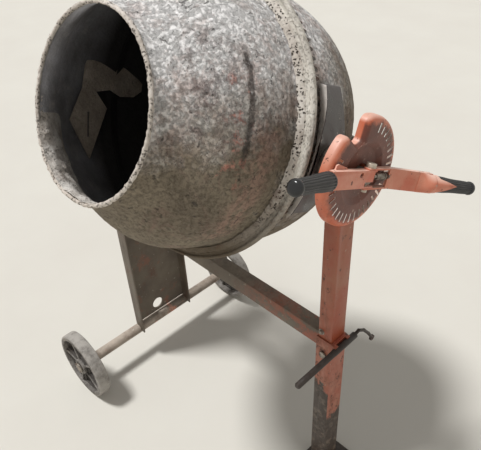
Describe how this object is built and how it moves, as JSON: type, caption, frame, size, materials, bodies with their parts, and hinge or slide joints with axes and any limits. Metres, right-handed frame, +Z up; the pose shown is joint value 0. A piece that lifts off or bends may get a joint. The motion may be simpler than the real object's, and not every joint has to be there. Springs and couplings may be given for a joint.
{
  "type": "tilting drum concrete mixer",
  "caption": "Small site concrete mixer: a tilting bowl-shaped drum in a yoke, on a stand with an axle, two wheels, a beam and one post, with a slotted tilt disc and a double lever.",
  "frame": {"origin": "on the floor, at the middle of the foot plate under the single post", "axes": "+X from the wheel axle to the post, along the tilt axis; -Y towards the drum's mouth; +Z up"},
  "size_m": [0.9905, 0.7197, 1.2901],
  "materials": {
    "stand_dark": "old brown-grey paint over steel, dusty and stained",
    "orange_paint": "worn orange paint, semi-matt",
    "bare_steel": "bare steel, dull and stained",
    "wheel_grey": "hard grey plastic, scuffed and dusty",
    "drum_skin": "steel covered with a thin crust of cement",
    "grip_black": "ribbed black rubber",
    "motor_grey": "grey cast block"
  },
  "bodies": {
    "stand": {"upright": "stand_dark", "axle": "bare_steel", "keeper_near": "bare_steel", "keeper_far": "bare_steel", "beam": "stand_dark", "post": "orange_paint", "leg": "orange_paint", "leg_pin": "bare_steel", "foot": "stand_dark", "lift_bar": "stand_dark", "bar_hook": "stand_dark", "bar_bracket": "orange_paint", "tilt_disc": "orange_paint", "housing": "orange_paint", "motor": "motor_grey"},
    "yoke": {"yoke": "stand_dark", "saddle_post": "stand_dark", "saddle_drive": "stand_dark", "trunnion_post": "bare_steel", "trunnion_drive": "bare_steel", "lever": "orange_paint", "far_arm": "orange_paint", "handle_pin": "bare_steel", "catch": "stand_dark", "grip_near": "grip_black", "grip_far": "grip_black"},
    "pinion": {"pinion": "bare_steel"},
    "drum": {"drum_front": "drum_skin", "drum_rear": "drum_skin", "drum_band": "drum_skin", "drum_spindle": "bare_steel", "blade_1": "drum_skin", "blade_2": "drum_skin", "blade_3": "drum_skin"},
    "wheel_near": {"wheel_near": "wheel_grey"},
    "wheel_far": {"wheel_far": "wheel_grey"}
  },
  "joints": [
    {"name": "drum_tilt", "type": "hinge", "parent": "stand", "child": "yoke", "pos_m": [-0.325, 0, 0.971], "axis": [1, 0, 0], "range_deg": [-66, 68]},
    {"name": "drum_spin", "type": "hinge", "parent": "yoke", "child": "drum", "pos_m": [-0.325, 0, 0.971], "axis": [0, -0.9164, 0.4003], "continuous": true},
    {"name": "pinion_spin", "type": "hinge", "parent": "yoke", "child": "pinion", "pos_m": [-0.65, 0, 0.971], "axis": [1, 0, 0], "continuous": true},
    {"name": "near_wheel_roll", "type": "hinge", "parent": "stand", "child": "wheel_near", "pos_m": [-0.713, -0.309, 0.11], "axis": [0, 1, 0], "continuous": true},
    {"name": "far_wheel_roll", "type": "hinge", "parent": "stand", "child": "wheel_far", "pos_m": [-0.713, 0.309, 0.11], "axis": [0, 1, 0], "continuous": true}
  ],
  "couplings": [
    {"joint": "pinion_spin", "follows": "drum_spin", "ratio": 5}
  ]
}
